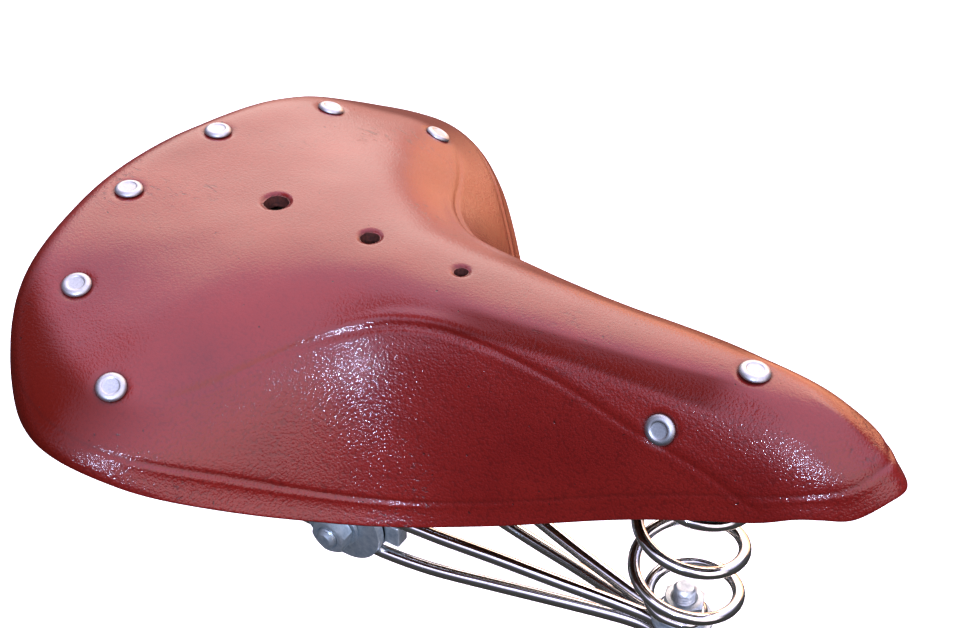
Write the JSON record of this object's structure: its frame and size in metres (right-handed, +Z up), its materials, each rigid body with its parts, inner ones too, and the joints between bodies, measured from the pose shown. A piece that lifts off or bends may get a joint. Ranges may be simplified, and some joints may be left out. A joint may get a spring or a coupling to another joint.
{
  "type": "bicycle saddle",
  "caption": "Sprung leather bicycle saddle with coil springs at rear and nose, hairpin wire rails and a clamped seat-post clip.",
  "frame": {"origin": "on the seat post's axis, at the lower rim of the clip band that the post's top end goes into", "axes": "+X forward to the nose, +Y to the left side, +Z up along the seat post"},
  "size_m": [0.288, 0.226, 0.1316],
  "materials": {
    "leather": "varnished, pebbled grain",
    "chrome": "polished plating",
    "zinc": "zinc plated",
    "sheet": "dark japanned steel",
    "rivet": "nickel plated"
  },
  "bodies": {
    "seat_clip": {"clip_band": "zinc", "clamp_bolt": "zinc"},
    "clamp_cheeks": {"inner_cheek_left": "zinc", "outer_cheek_left": "zinc", "clamp_washer_left": "zinc", "clamp_nut_left": "zinc", "inner_cheek_right": "zinc", "outer_cheek_right": "zinc", "clamp_washer_right": "zinc", "clamp_nut_right": "zinc"},
    "undercarriage": {"rail_upper": "chrome", "rail_lower": "chrome", "rear_bridge": "zinc", "rear_spring_left": "chrome", "rear_spring_right": "chrome", "rear_lower_bolt_left": "zinc", "rear_lower_bolt_right": "zinc", "rear_lower_nut_left": "zinc", "rear_lower_nut_right": "zinc", "nose_bottom_bolt": "zinc", "nose_bottom_nut": "zinc", "nose_bottom_washer": "zinc", "nose_spring": "chrome"},
    "nose_carriage": {"nose_bracket": "sheet", "shackle_pin": "zinc", "nose_top_bolt": "zinc", "nose_top_nut": "zinc"},
    "top": {"leather_cover": "leather", "cantle_plate": "sheet", "cantle_bridge": "sheet", "rear_rivet_1": "rivet", "rear_rivet_2": "rivet", "rear_rivet_3": "rivet", "rear_rivet_4": "rivet", "rear_rivet_5": "rivet", "rear_rivet_6": "rivet", "tension_shackle": "zinc", "rear_upper_bolt_left": "zinc", "rear_upper_bolt_right": "zinc", "rear_upper_nut_left": "zinc", "rear_upper_nut_right": "zinc"},
    "nose_carrier": {"nose_piece": "sheet", "nose_rivet_top": "rivet", "nose_rivet_left": "rivet", "nose_rivet_right": "rivet"},
    "tension_screw": {"tension_bolt": "zinc"}
  },
  "joints": [
    {"name": "tilt", "type": "hinge", "parent": "seat_clip", "child": "clamp_cheeks", "pos_m": [0.029, 0, 0.015], "axis": [0, 1, 0], "range_deg": [-12, 12]},
    {"name": "fore_aft", "type": "slide", "parent": "clamp_cheeks", "child": "undercarriage", "axis": [1, 0, 0], "range_m": [0, 0.011]},
    {"name": "nose_spring_travel", "type": "hinge", "parent": "undercarriage", "child": "nose_carriage", "pos_m": [-0.039, 0, 0.097], "axis": [0, 1, 0], "range_deg": [0, 3], "stiffness_Nm_per_rad": 850, "deforming": ["nose_spring"]},
    {"name": "rear_spring_travel", "type": "hinge", "parent": "nose_carriage", "child": "top", "pos_m": [0.153, 0, 0.1005], "axis": [0, -1, 0], "range_deg": [0, 6], "stiffness_Nm_per_rad": 1100, "deforming": ["rear_spring_left", "rear_spring_right"]},
    {"name": "tension", "type": "slide", "parent": "top", "child": "nose_carrier", "axis": [1, 0, 0], "range_m": [0, 0.00374], "deforming": ["leather_cover"]},
    {"name": "tension_bolt_turn", "type": "hinge", "parent": "nose_carrier", "child": "tension_screw", "pos_m": [0.153, 0, 0.11], "axis": [1, 0, 0], "range_deg": [0, 1080]}
  ],
  "couplings": [
    {"joint": "tension_bolt_turn", "follows": "tension", "rad_per_m": 5026.5}
  ]
}
